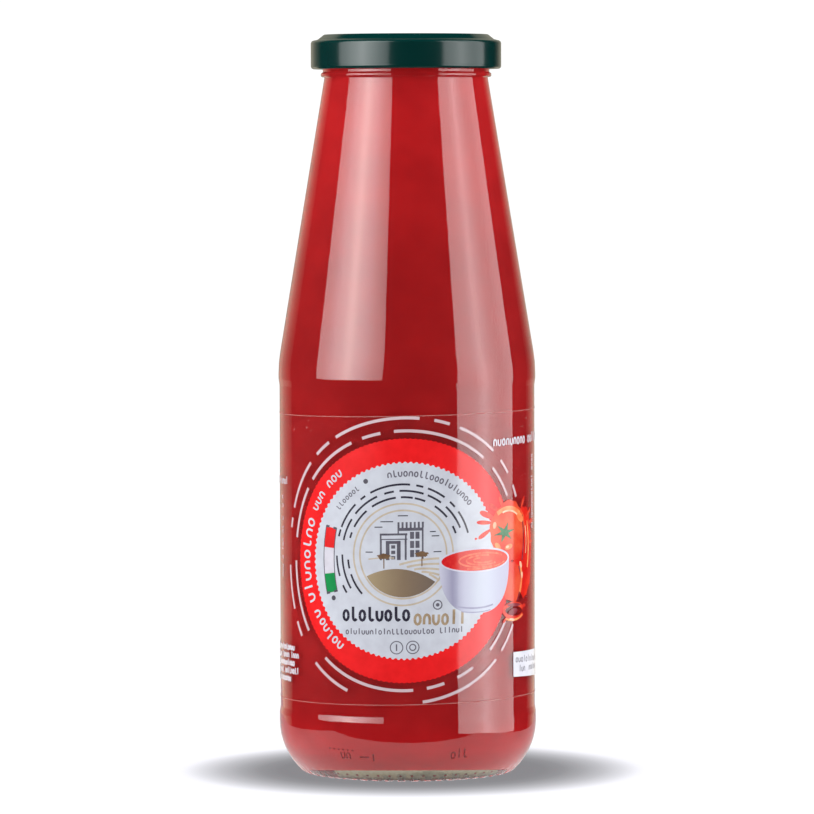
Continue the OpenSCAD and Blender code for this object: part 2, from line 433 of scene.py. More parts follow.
def make_film(wrap):
    """The clear film, cut square to its slanted edges, with a gap at the back."""
    outer, inner, half = wrap.r, wrap.r - FILM_T, FILM_H / 2
    middle = wrap.z + PRINT_DROP
    gap = math.degrees(FILM_GAP / outer) / 2
    steps = 180
    bm = bmesh.new()
    rows = []
    for k in range(steps + 1):
        a = math.radians(gap + (360 - 2 * gap) * k / steps)
        row = []
        for r, v in ((outer, -half), (outer, half), (inner, half), (inner, -half)):
            x, y = r * math.sin(a), r * math.cos(a)
            row.append(bm.verts.new((x * MM, y * MM, (middle + v + x * SLANT) * MM)))
        rows.append(row)
    for a, b in zip(rows, rows[1:]):
        for i in range(4):
            j = (i + 1) % 4
            bm.faces.new((a[i], b[i], b[j], a[j]))
    bm.faces.new(rows[0])
    bm.faces.new(list(reversed(rows[-1])))
    obj = new_object("label_film", bm, film_material())
    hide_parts("label")


def printed(name, shapes, layer, wrap, material):
    """A patch, used for print and for painted light and shade: flat outlines cut in narrow strips,
    wrapped and given a thickness.
    """
    bm = bmesh.new()
    for shape in shapes:
        bm.faces.new([bm.verts.new((u, v, 0)) for u, v in shape])
    bm.normal_update()
    bmesh.ops.triangulate(bm, faces=bm.faces)
    us = [v.co.x for v in bm.verts]
    cut = math.ceil(min(us) / STRIP) * STRIP
    while cut < max(us):
        bmesh.ops.bisect_plane(bm, geom=bm.verts[:] + bm.edges[:] + bm.faces[:], dist=1e-5,
                               plane_co=(cut, 0, 0), plane_no=(1, 0, 0))
        cut += STRIP
    bmesh.ops.triangulate(bm, faces=bm.faces)
    front = wrap.r + layer * LAYER
    back = wrap.r - SUNK
    faces = list(bm.faces)
    edges = [e for e in bm.edges if len(e.link_faces) == 1]
    under = {v: bm.verts.new(wrap.point(v.co.x, v.co.y, back)) for v in list(bm.verts)}
    for face in faces:
        bm.faces.new([under[v] for v in reversed(face.verts)])
    for edge in edges:
        a, b = edge.verts
        bm.faces.new((a, b, under[b], under[a]))
        edge.smooth = False
    for v in under:
        v.co = wrap.point(v.co.x, v.co.y, front)
    new_object(name, bm, material)


def disc(u, v, radius, teeth=0, depth=0.0, count=16):
    """A disc whose edge may be cut in small teeth."""
    points = []
    total = teeth * 4 if teeth else count
    for k in range(total):
        a = 2 * math.pi * k / total
        r = radius - (depth if teeth and k % 4 in (0, 3) else 0)
        points.append((u + r * math.cos(a), v + r * math.sin(a)))
    return points


def round_arc(radius, start, centre=(0, 0)):
    """Places (s, t) clockwise along a circle, with t outwards."""
    def place(s, t):
        a = math.radians(start) - s / radius
        return (centre[0] + (radius + t) * math.cos(a), centre[1] + (radius + t) * math.sin(a))
    return place


def ragged(u, v, a, b, waves, depth, count=96):
    """An ellipse with a torn edge: three sets of waves run round it."""
    points = []
    for k in range(count):
        t = 2 * math.pi * k / count
        swell = 1 + depth * (math.sin(waves * t) + 0.6 * math.sin((2 * waves + 1) * t + 1.3)
                             + 0.4 * math.sin((3 * waves + 2) * t + 0.4)) / 2
        points.append((u + a * swell * math.cos(t), v + b * swell * math.sin(t)))
    return points


def drop(u, v, long, wide, turn):
    """A drop with its round end at (u, v) and its tail some way off in a direction."""
    place = turned(u, v, turn)
    points = []
    for k in range(24):
        t = 2 * math.pi * k / 24
        reach = (1 + math.cos(t)) / 2
        points.append(place(long * reach - wide / 2, wide / 2 * math.sin(t) * (1.25 - reach)))
    return points


def star(u, v, leaves, long, short, flat, turn):
    """A flattened star of pointed leaves."""
    points = []
    for k in range(2 * leaves):
        a = math.radians(turn + 180 * k / leaves)
        r = long if k % 2 == 0 else short
        points.append((u + r * math.cos(a), v + r * flat * math.sin(a)))
    return points


def bend(start, through, end, count=10):
    """A curve between two points that a third pulls to its side."""
    out = []
    for k in range(count + 1):
        t = k / count
        a, b, c = (1 - t) ** 2, 2 * t * (1 - t), t * t
        out.append(tuple(a * p + b * q + c * r for p, q, r in zip(start, through, end)))
    return out


def stroke(points, weight):
    """The outline of a line of even weight through some points."""
    left, right = [], []
    for i, (u, v) in enumerate(points):
        ahead = Vector(points[min(i + 1, len(points) - 1)]) - Vector(points[max(i - 1, 0)])
        side = Vector((-ahead.y, ahead.x)).normalized() * weight / 2
        left.append((u + side.x, v + side.y))
        right.append((u - side.x, v - side.y))
    return left + right[::-1]


def arc_bar(radius, start, sweep, width, centre=(0, 0)):
    """A curved bar of a ring."""
    steps = max(2, round(abs(sweep) / 2.5))
    place = round_arc(radius, start + sweep, centre)
    long = radius * math.radians(sweep)
    return stroke([place(long * k / steps, 0) for k in range(steps + 1)], width)


def bar(u0, v0, u1, v1):
    """An upright rectangle."""
    return [(u0, v0), (u1, v0), (u1, v1), (u0, v1)]


def ring(radius, width, centre):
    """A whole ring, as two halves."""
    return [arc_bar(radius, 0, 180, width, centre), arc_bar(radius, 180, 180, width, centre)]


def scribble(kind, wide, high):
    """One made-up mark of a line of small print, as open lines; none spells anything."""
    x, y = wide / 2, high / 2
    if kind == "arch":
        return [[(wide, 0)] + oval(x, y, x, y, 0, 0, 180, 12) + [(0, 0)]]
    if kind == "cup":
        return [[(0, high)] + oval(x, y, x, y, 0, 180, 360, 12) + [(wide, high)]]
    if kind == "loop":
        return [oval(x, y, x, y, 0, 0, 180, 12), oval(x, y, x, y, 0, 180, 360, 12)]
    if kind == "mast":
        return [[(x, 0), (x, high * 1.5)]]
    return [[(x - 0.2 * wide, high * 1.4)] + oval(x + 0.15 * wide, y * 0.7, x * 0.7, y * 0.7,
                                                 0, 180, 330, 12)]


def small_print(place, long, pitch, high, weight, seed, gaps=0.12):
    """Marks in a line, put down by place(s, t); gaps is the share of places left empty."""
    rng = random.Random(seed)
    out = []
    for k in range(max(1, int(long / pitch))):
        kind = rng.choice(("arch", "cup", "loop", "loop", "arch", "mast", "hook"))
        if rng.random() < gaps:
            continue
        for line in scribble(kind, pitch * 0.62, high):
            out.append(stroke([place(s + k * pitch, t) for s, t in line], weight))
    return out


OUTER_DASHES = ((84, 36), (71.5, 6.5), (48, 19), (35.5, 7), (24, 5.5), (124, 8), (137, 22),
                (163.5, 4), (183, 18), (206.5, 6.5), (226.5, 19), (277, 36.5), (318, 12.5))
INNER_DASHES = ((50.5, 44), (100.5, 8.5), (114.5, 27), (146.5, 24), (181, 32.5), (229, 44.5),
                (279.5, 8), (294, 8.5), (314, 15.5), (27.5, 16))
EMBLEM_DASHES = (
    (17.0, ((20, 8), (39, 17), (67, 11), (80, 12), (97, 26), (130, 21), (157, 6), (185, 9),
            (200, 23))),
    (18.9, ((23, 24), (53, 14), (71, 22), (98, 9), (114, 26), (146, 21), (180, 32))),
    (20.8, ((16, 20), (41, 6), (53, 16), (73, 6), (84, 34), (123, 5), (134, 23), (159, 6),
            (181, 17), (206, 7))),
)


def flattened(outlines):
    """Outlines that lie centred on the film itself, with the discs' slight flatness."""
    return [[(u, PRINT_DROP + FLAT * v) for u, v in outline] for outline in outlines]


def print_discs(wrap):
    """The red disc, the pale disc and the broken rings round them."""
    red = print_material("print_red", (0.84, 0.0135, 0.016), (0.92, 0.0165, 0.019))
    white = print_material("print_white", (0.60, 0.62, 0.70), (0.66, 0.69, 0.77))
    printed("print_red_disc", flattened([disc(0, 0, RED_R, 150, 0.25)]), 1, wrap, red)
    printed("print_white_disc", flattened([disc(0, 0, PALE_R, 110, 0.45)]), 2, wrap, white)
    dashes = [arc_bar(OUTER_R, s, w, DASH_WIDE) for s, w in OUTER_DASHES]
    dashes += [arc_bar(INNER_R, s, w, DASH_WIDE) for s, w in INNER_DASHES]
    dash = print_material("print_dash", (0.66, 0.49, 0.53), (0.72, 0.54, 0.58))
    printed("print_dashes", flattened(dashes), 1, wrap, dash)
    marks = small_print(round_arc(32.4, 152.5), 15.5, 2.2, 1.9, 0.5, 3)
    marks += small_print(round_arc(32.0, 202), 25.7, 3.2, 2.5, 0.62, 4, 0)
    marks += small_print(round_arc(32.0, 211), 3.0, 2.7, 2.0, 0.62, 8, 0)
    marks += small_print(round_arc(31.6, 232.8), 11.6, 2.3, 2.0, 0.55, 5, 0)
    printed("print_ring_marks", flattened(marks), 2, wrap, white)


def print_emblem(wrap):
    """A plain picture in rings in the middle of the pale disc: a hill, fields and two blocks."""
    pale_gold = print_material("print_pale_gold", (0.52, 0.43, 0.33), (0.62, 0.53, 0.42))
    gold, tree, shader = blank_material("print_gold")
    fade(tree, shader, "X", -11, 9, ((0.40, 0.31, 0.19), (0.25, 0.18, 0.12), (0.17, 0.13, 0.11)))
    ink_gloss(shader)
    grey = print_material("print_grey", (0.10, 0.095, 0.125), (0.15, 0.145, 0.18))
    dark = print_material("print_dark", (0.035, 0.033, 0.05), (0.06, 0.055, 0.08))
    brown = print_material("print_brown", (0.16, 0.09, 0.05), (0.24, 0.15, 0.09))
    rings = ring(15.1, 0.5, EMBLEM) + ring(13.1, 0.5, EMBLEM)
    printed("print_gold_rings", rings, 3, wrap, pale_gold)
    foot = oval(*EMBLEM, 12.7, 12.7, 0, 210, 319, 53)
    hill = bend(foot[-1], (-0.8, 1.1), foot[0], 16) + foot[1:-1]
    printed("print_hill", [hill], 3, wrap, gold)
    fields = [stroke(bend((-1.6 + 2.2 * k, -0.6 - 0.75 * k), (3.2 + 1.3 * k, 0.9 - 1.25 * k),
                          (10.3, 1.0 - 1.65 * k)), 0.6) for k in range(5)]
    fields += [stroke([(-10.9, 1.1), (-6.5, 1.6), (-3.1, 1.4)], 0.35)]
    printed("print_fields", fields, 4, wrap, pale_gold)
    trees = ((-6.2, 1.9), (5.1, 2.4))
    crowns = [ragged(u, v, 1.9, 0.8, 5, 0.25, 48) for u, v in trees]
    trunks = [bar(u - 0.15, v - 3.6, u + 0.15, v - 0.4) for u, v in trees]
    printed("print_trees", crowns, 5, wrap, brown)
    printed("print_trunks", trunks, 6, wrap, brown)
    house = [bar(-7.4, 8.1, 0.8, 8.7), bar(-7.4, 6.8, 0.8, 7.1), bar(-7.4, 0.8, -6.8, 6.8),
             bar(0.0, 0.8, 0.6, 6.8), bar(-7.4, 7.1, -6.9, 8.1), bar(0.1, 7.1, 0.6, 8.1)]
    house += [bar(-5.6, 0.8, -4.5, 5.6), bar(-2.3, 0.8, -1.2, 5.6), bar(-5.6, 5.6, -1.2, 6.5)]
    house += [bar(-4.0, v, -2.8, v + 1.0) for v in (1.0, 2.6, 4.2)]
    house += [bar(-2.1, 9.4, 5.6, 10.3), bar(5.1, 1.0, 5.6, 9.4), bar(-2.1, 8.7, -1.7, 9.4)]
    house += [bar(-2.1 + 1.2 * k, 10.3, -1.5 + 1.2 * k, 12.0) for k in range(7)]
    house += [bar(u, v, u + 1.2, v + 2.1) for u in (1.6, 3.2) for v in (1.6, 4.3, 7.0)]
    printed("print_house", house, 3, wrap, grey)
    dashes = [arc_bar(r, s, w, 0.6, EMBLEM) for r, row in EMBLEM_DASHES for s, w in row]
    puffs = ((-5.3, 12.2, 3.8), (-7.8, 10.6, 2.4), (8.4, 9.0, 1.8), (9.2, 7.7, 2.3),
             (-10.7, 3.2, 2.2), (9.8, 3.0, 2.4), (-0.5, 13.9, 3.0))
    dashes += [bar(u - w / 2, v - 0.15, u + w / 2, v + 0.15) for u, v, w in puffs]
    printed("print_strokes", dashes, 3, wrap, dark)


def print_ribbon(wrap):
    """The ribbon of three colours at the left of the pale disc."""
    radius, wide, centre = 44.2, 3.6, (20, 1.2)
    for colour, ink, start, sweep in (("red", (0.78, 0.02, 0.022), 168.0, 7.9),
                                      ("white", (0.66, 0.64, 0.72), 175.9, 9.9),
                                      ("green", (0.012, 0.28, 0.075), 185.8, 7.4)):
        material = print_material("ribbon_" + colour, ink, tuple(v * 1.1 for v in ink))
        printed("print_ribbon_" + colour, [arc_bar(radius, start, sweep, wide, centre)], 3,
                wrap, material)
    edge = print_material("ribbon_edge", (0.09, 0.085, 0.11), (0.13, 0.12, 0.15))
    lines = [arc_bar(radius + side * (wide / 2 + 0.1), 167.7, 25.8, 0.26, centre)
             for side in (-1, 1)]
    lines += [arc_bar(radius + side * 1.3, start, 0.9, 1.1, centre) for side in (-1, 1)
              for start in (167.5, 192.6)]
    lines += [disc(u, v, 0.75, count=12) for u, v in ((-22.5, -10.6), (-11.7, 24.2))]
    printed("print_ribbon_edge", lines, 4, wrap, edge)


def print_small(wrap):
    """Generic marks where the pack has words, a web line and two round signs."""
    dark = print_material("words_dark", (0.03, 0.028, 0.045), (0.05, 0.045, 0.07))
    bronze = print_material("words_bronze", (0.33, 0.23, 0.14), (0.48, 0.37, 0.25))
    grey = print_material("words_grey", (0.13, 0.125, 0.16), (0.19, 0.18, 0.23))
    printed("print_word_dark", small_print(turned(-19.0, -17.1, 0), 21.2, 2.65, 2.9, 0.85, 11, 0),
            3, wrap, dark)
    printed("print_word_bronze",
            small_print(turned(2.9, -18.4, -1.5), 16.6, 2.75, 2.9, 0.8, 12, 0),
            3, wrap, bronze)
    fine = small_print(turned(-18.2, -21.2, 0), 37.2, 1.3, 1.15, 0.34, 13)
    fine += small_print(round_arc(25.6, 100.8), 28.4, 1.55, 1.4, 0.4, 14, 0)
    fine += small_print(round_arc(25.6, 151.5), 14.8, 1.35, 1.1, 0.3, 15, 0.05)
    for u, v in ((-2.5, -25.2), (2.3, -25.2)):
        fine += ring(1.85, 0.3, (u, v))
    fine += [bar(-2.7, -26.2, -2.3, -24.2)] + ring(0.9, 0.35, (2.3, -25.2))
    fine += ring(1.3, 0.35, (9.8, -12.8)) + [disc(9.8, -12.8, 0.55)]
    printed("print_fine", fine, 3, wrap, grey)


def print_bowl(wrap):
    """The white bowl of soup."""
    china, tree, shader = blank_material("bowl_china")
    fade(tree, shader, "X", 9.5, 32.5,
         ((0.62, 0.62, 0.76), (0.36, 0.35, 0.50), (0.54, 0.55, 0.70), (0.62, 0.66, 0.78),
          (0.60, 0.63, 0.77), (0.56, 0.56, 0.72), (0.54, 0.46, 0.64)), 200, 0.05)
    ink_gloss(shader)
    shade = print_material("bowl_shade", (0.30, 0.29, 0.45), (0.38, 0.38, 0.54))
    rim = print_material("bowl_rim", (0.62, 0.62, 0.74), (0.72, 0.72, 0.83))
    soup, tree, shader = blank_material("soup")
    fade(tree, shader, "X", 11, 31, ((0.66, 0.012, 0.018), (0.80, 0.045, 0.03),
                                     (0.80, 0.09, 0.045), (0.78, 0.04, 0.03)), 900, 0.5)
    ink_gloss(shader)
    swirl = print_material("soup_swirl", (0.84, 0.10, 0.05), (0.92, 0.24, 0.13), 700)
    u, v, a = 22.9, -0.1, 12.6
    deep, power = 15.9, 2.5
    body = []
    for k in range(33):
        t = math.pi * k / 32
        x, y = math.cos(t), math.sin(t)
        size = (abs(x) ** power + abs(y) ** power) ** (-1 / power)
        body.append((u + a * x * size, v - deep * y * size))
    printed("print_bowl", [body], 5, wrap, china)
    foot = [stroke(bend((u - 6.8, v - 13.6), (u, v - 15.0), (u + 5.6, v - 13.6)), 0.5),
            stroke(bend((u - 5.6, v - 15.1), (u, v - 16.0), (u + 4.6, v - 15.1)), 0.3)]
    printed("print_bowl_shade", foot, 6, wrap, shade)
    printed("print_bowl_rim", [oval(u, v, a, 3.7)], 7, wrap, rim)
    printed("print_soup", [oval(u, v - 0.05, a - 0.65, 3.15)], 8, wrap, soup)
    swirls = [stroke(oval(u + 2.0, v - 0.1, 8.4 - 2.4 * k, 2.1 - 0.65 * k, 0, 30 + 40 * k,
                          300 + 20 * k), 0.5) for k in range(3)]
    swirls += [stroke(oval(u, v - 0.05, a - 1.5, 2.6, 0, 250, 340), 0.4)]
    printed("print_soup_swirl", swirls, 9, wrap, swirl)


def print_tomatoes(wrap):
    """The tomatoes behind the bowl and the splashes round them."""
    skin, tree, shader = blank_material("tomato_skin")
    fade(tree, shader, "Z", 48, 84, ((0.80, 0.04, 0.018), (0.84, 0.10, 0.045),
                                     (0.76, 0.03, 0.016), (0.86, 0.13, 0.05),
                                     (0.80, 0.05, 0.02)), 260, 0.5)
    ink_gloss(shader)
    far_skin = print_material("tomato_far", (0.70, 0.012, 0.010), (0.90, 0.035, 0.016), 150)
    juice = print_material("tomato_juice", (0.72, 0.02, 0.016), (0.86, 0.08, 0.04), 400)
    glow = print_material("tomato_glow", (0.90, 0.16, 0.06), (1.0, 0.38, 0.14), 260)
    leaf = print_material("calyx", (0.02, 0.12, 0.05), (0.10, 0.32, 0.15), 420)
    pale = print_material("tomato_light", (0.92, 0.45, 0.28), (1.0, 0.72, 0.52), 400)
    gap = print_material("tomato_gap", (0.22, 0.01, 0.02), (0.34, 0.06, 0.08), 400)
    splash = [drop(23.8, 6.6, 6.6, 1.6, 28), drop(23.2, 11.0, 7.4, 1.5, -4),
              drop(24.6, 13.7, 7.6, 2.1, -22), drop(27.6, 15.9, 7.0, 1.7, -30),
              drop(22.2, 6.2, 1.0, 0.8, 0), drop(31.4, 17.6, 5.0, 1.4, -60),
              drop(51.6, 9.9, 6.0, 1.5, 190), drop(50.9, 3.6, 5.0, 1.3, 182),
              drop(49.8, 13.4, 5.0, 1.3, 210), drop(44.3, 17.0, 5.0, 1.3, 235)]
    printed("print_splash", splash, 3, wrap, juice)
    printed("print_tomato_far", [ragged(44.2, 1.0, 6.4, 13.6, 7, 0.05)], 3, wrap, far_skin)
    printed("print_tomato", [ragged(36.0, 7.6, 8.6, 9.2, 5, 0.06),
                             ragged(37.2, -7.6, 5.6, 6.0, 4, 0.08)], 4, wrap, skin)
    low = [stroke(oval(38.4, -16.4, 5.3, 2.1, -5, 20, 340, 48), 1.2),
           drop(44.6, -15.2, 3.0, 1.2, 190), drop(33.2, -19.2, 3.0, 1.0, 40)]
    printed("print_splash_low", low, 4, wrap, juice)
    gaps = [stroke(bend((42.9, 12.0), (44.8, 5.5), (43.0, -1.5)), 0.7),
            stroke(bend((40.9, -3.2), (43.6, -8.0), (39.9, -13.4)), 0.6),
            oval(38.2, -14.6, 3.6, 0.5, -3), oval(37.6, -16.6, 2.4, 1.0, 8)]
    printed("print_tomato_gap", gaps, 5, wrap, gap)
    shines = [stroke(bend((30.4, 13.2), (35.6, 16.2), (41.4, 12.6)), 1.3),
              oval(41.5, 11.6, 2.4, 1.2, -35),
              stroke(bend((46.6, 10.0), (48.6, 3.0), (46.8, -4.0)), 0.8),
              oval(30.6, 3.4, 1.5, 0.8, -40), oval(35.4, 3.0, 1.9, 0.8, 10),
              stroke(bend((41.6, -2.4), (43.3, -6.6), (41.4, -11.0)), 1.0),
              stroke(bend((33.9, -18.5), (38.6, -20.0), (43.0, -17.9)), 0.6)]
    printed("print_tomato_shine", shines, 6, wrap, glow)
    lights = [stroke(bend((32.6, 13.4), (36.4, 14.6), (39.8, 12.4)), 0.5),
              stroke(bend((45.2, 8.6), (46.3, 4.0), (45.3, 0.4)), 0.35),
              oval(29.2, 9.8, 0.7, 1.0, -10), oval(34.8, 3.0, 0.8, 0.4, 10),
              oval(42.0, -2.8, 0.6, 1.1, 30), oval(42.8, -6.0, 0.45, 1.0, 0),
              oval(37.0, -18.9, 1.3, 0.35, -8)]
    printed("print_tomato_light", lights, 7, wrap, pale)
    printed("print_calyx", [star(33.6, 7.4, 6, 4.8, 1.7, 0.62, 12)], 7, wrap, leaf)


def print_sides(wrap):
    """Rows of marks at both sides of the picture, and the pale box for a date."""
    white = print_material("side_white", (0.68, 0.62, 0.69), (0.78, 0.73, 0.80))
    rows = []
    for k, right in enumerate((-39.7, -36.9, -39.2, -36.6, -41.7)):
        long = 64 + right
        rows += small_print(turned(-64, -27.5 - 2.35 * k, 0.6), long, 1.25, 1.25, 0.5, 20 + k, 0.05)
    rows += small_print(turned(-60, 22.3, 0.5), 16.4, 1.7, 1.5, 0.45, 31, 0)
    rows += small_print(turned(-49.6, -5.4, 90), 26, 1.3, 1.0, 0.3, 32, 0.3)
    rows += small_print(turned(29.0, 33.4, 0.6), 33.0, 1.85, 1.9, 0.55, 33, 0.08)
    rows += small_print(turned(52.6, 7.6, 90), 23.4, 1.25, 1.1, 0.35, 34, 0.06)
    printed("print_side_marks", rows, 1, wrap, white)
    pale = print_material("date_box", (0.84, 0.84, 0.93), (0.92, 0.92, 1.0))
    box = [(37.8, -28.8), (37.8, -36.2), (62.0, -37.7), (62.0, -29.5)]
    printed("print_date_box", [box], 1, wrap, pale)
    grey = print_material("date_marks", (0.16, 0.15, 0.20), (0.26, 0.25, 0.32))
    marks = small_print(turned(39.2, -31.9, -3), 20, 1.6, 1.3, 0.3, 41)
    marks += small_print(turned(39.8, -34.9, -1), 19, 1.4, 1.3, 0.3, 42)
    printed("print_date_marks", marks, 2, wrap, grey)


def film_details(wrap):
    """Painted highlights: pale lines for the light that the film's cut edges catch, and light
    specks for small bubbles under it.
    """
    material, tree, shader = blank_material("film_glint")
    # painted highlight: a pale pink for light caught at the film's cut edges and at bubbles
    mottle(tree, shader, (0.75, 0.30, 0.27), (0.88, 0.52, 0.48), 140)
    shader.inputs["Alpha"].default_value = 0.26
    long = 116  # just short of the film's ends
    edges = [bar(-long, v - 0.08, long, v + 0.14)
             for v in (PRINT_DROP + wrap.half, PRINT_DROP - wrap.half)]
    printed("film_edge_highlights", edges, 1, wrap, material)
    rng = random.Random(5)
    spots = []
    for _ in range(70):
        near = rng.random() < 0.45
        u = rng.uniform(-48, 52)
        v = rng.uniform(38.5, 42) if near else rng.uniform(-41, 41)
        if math.hypot(u, v) > 44.5:
            spots.append(oval(u, v, rng.uniform(0.12, 0.34), rng.uniform(0.1, 0.24),
                              rng.uniform(0, 180), count=8))
    printed("film_bubble_glints", spots, 2, wrap, material)


class Heel:
    """Maps (u, v) onto the glass near the foot: u along the round, v the height.

    Like Wrap it serves printed(), but counts how far a point stands off the glass, not r.
    """

    def __init__(self, boxes):
        self.r = 0.0
        self.around = boxes["bottle"][1][0]
        self.outline = [p for p in outer_glass(boxes) if p[1] < PANEL_LOW]

    def point(self, u, v, off):
        r = 0
        for (r0, z0), (r1, z1) in zip(self.outline, self.outline[1:]):
            if z0 < v <= z1:
                r = r0 + (r1 - r0) * (v - z0) / (z1 - z0)
        a = u / self.around
        return Vector(((r + off) * math.sin(a), -(r + off) * math.cos(a), v)) * MM


def heel_marks(boxes):
    """The raised marks that the mould leaves on the glass near the foot, drawn as flat patches in
    painted shade.
    """
    heel = Heel(boxes)
    material, tree, shader = blank_material("heel_mark_shade")
    # painted shade: the raised glass of the marks is shown as dark red patches
    mottle(tree, shader, (0.16, 0.008, 0.010), (0.30, 0.02, 0.02), 600)
    shader.inputs["Alpha"].default_value = 0.8
    marks = [oval(-25.4 + 1.6 * k, 10.0 - 0.05 * k, 0.3, 0.25, count=8) for k in range(6)]
    marks += small_print(turned(-21.6, 7.2, -2), 4.6, 1.9, 1.8, 0.35, 51, 0)
    marks += [bar(-15.2, 7.6, -12.2, 8.0), bar(-11.0, 6.7, -10.6, 8.8)]
    marks += small_print(turned(13.6, 7.3, 3), 7.0, 2.0, 1.9, 0.35, 52, 0)
    printed("heel_marks", marks, 6, heel, material)


def paint_foot_light_and_shade(boxes):
    """Painted light and shade at the foot: a pale band for the light through its thick glass, dark
    patches at the band's ends, and its two rows of small cuts drawn in painted shade.
    """
    heel = Heel(boxes)
    # painted light: dark at the foot going up to cream, for light that comes through the thick
    # glass
    pale, tree, shader = blank_material("foot_painted_light")
    fade(tree, shader, "Z", 0.4, 3.6, ((0.12, 0.06, 0.04), (0.42, 0.34, 0.21), (0.55, 0.51, 0.36)),
         900, 0.9)
    shader.inputs["Roughness"].default_value = 0.2
    # painted shade: dark red-brown for the band's ends and for the cuts
    dark, tree, shader = blank_material("foot_painted_shade")
    mottle(tree, shader, (0.10, 0.012, 0.010), (0.30, 0.05, 0.04), 700)
    shader.inputs["Roughness"].default_value = 0.25

    def patch(start, end, low=0.5, high=3.97, steps=24):
        """Between two azimuths, from the foot up to a level that looks straight from the front."""
        edge = []
        for k in range(steps + 1):
            a = math.radians(start + (end - start) * k / steps)
            edge.append((a * heel.around, max(low + 0.05, high * math.cos(a) - 0.15)))
        return [(edge[0][0], low), (edge[-1][0], low)] + edge[::-1]

    printed("foot_painted_light", [patch(-40, 54)], 2, heel, pale)
    printed("foot_painted_shade", [patch(-62, -39), patch(53, 64)], 1, heel, dark)
    # the cuts are in the glass itself; these dark dashes over them are painted shade
    pitch = 3.9
    cuts = []
    for k in range(-9, 10):
        for row, (v, wide) in enumerate(((1.9, 1.0), (0.55, 2.1))):
            u = (k + 0.35) * pitch
            cuts.append(oval(u, v, wide / 2, 0.3 + 0.12 * row, count=10))
    printed("foot_cuts_painted_shade", cuts, 4, heel, dark)


def build_label(boxes):
    """The film, its painted edge highlights and everything that is printed on it, from the back to
    the front.
    """
    wrap = Wrap(boxes)
    make_film(wrap)
    film_details(wrap)
    print_discs(wrap)
    print_emblem(wrap)
    print_ribbon(wrap)
    print_small(wrap)
    print_tomatoes(wrap)
    print_bowl(wrap)
    print_sides(wrap)


# ---------------------------------------------------------------- studio

CARD_FAR = 0.9  # metres from the axis to the upright cards
ROOM_WHITE = 1.05  # the backdrop, as the camera sees it
ROOM_SIDES, ROOM_MIDDLE, ROOM_LEAN = 3.5, 0.32, -0.07  # the room's light on the sauce and print
ROOM_THROUGH = 0.37  # what clear glass shows of the room
CAMERA_BACK, CAMERA_UP = 1.67, 0.195  # metres from the axis and above the floor
CAMERA_DOWN, CAMERA_ROLL, CAMERA_LENS = 2.91, -0.165, 244.6  # degrees, degrees, millimetres


def emitter(name, corners, strength, across, up, lean=0.0, tint=(1, 1, 1)):
    """A light card that shows only in reflections; across and up are its levels in u and v."""
    mesh = bpy.data.meshes.new(name)
    mesh.from_pydata(corners, [], [(0, 1, 2, 3)])
    obj = bpy.data.objects.new(name, mesh)
    bpy.context.scene.collection.objects.link(obj)
    uv = mesh.uv_layers.new(name="UVMap")
    for loop, at in zip(uv.data, ((0, 0), (1, 0), (1, 1), (0, 1))):
        loop.uv = at
    material = bpy.data.materials.new(name)
    material.use_nodes = True
    tree = material.node_tree
    tree.nodes.clear()
    out = tree.nodes.new("ShaderNodeOutputMaterial")
    glow = tree.nodes.new("ShaderNodeEmission")
    glow.inputs["Strength"].default_value = strength
    tree.links.new(glow.outputs[0], out.inputs["Surface"])
    place = tree.nodes.new("ShaderNodeUVMap")
    split = tree.nodes.new("ShaderNodeSeparateXYZ")
    tree.links.new(place.outputs["UV"], split.inputs[0])
    skew = maths(tree, "MULTIPLY_ADD", split.outputs["Y"], lean, split.outputs["X"])
    levels = multiplied(tree, level_ramp(tree, skew, across),
                        level_ramp(tree, split.outputs["Y"], up))
    tree.links.new(multiplied(tree, levels, tint), glow.inputs["Color"])
    mesh.materials.append(material)
    obj.visible_camera = False
    obj.visible_diffuse = False
    obj.visible_transmission = False
    obj.visible_shadow = False
    return obj


def card(name, left, right, low, high, strength, across, up, lean=0.0):
    """An upright card between two azimuths (each at its foot and its top) and two heights.

    Azimuth 0 is the front (-Y) and 90 the right (+X); heights are in metres.
    """
    corners = []
    for azimuth, z in ((left[0], low), (right[0], low), (right[1], high), (left[1], high)):
        a = math.radians(azimuth)
        corners.append((CARD_FAR * math.sin(a), -CARD_FAR * math.cos(a), z))
    emitter(name, corners, strength, across, up, lean)


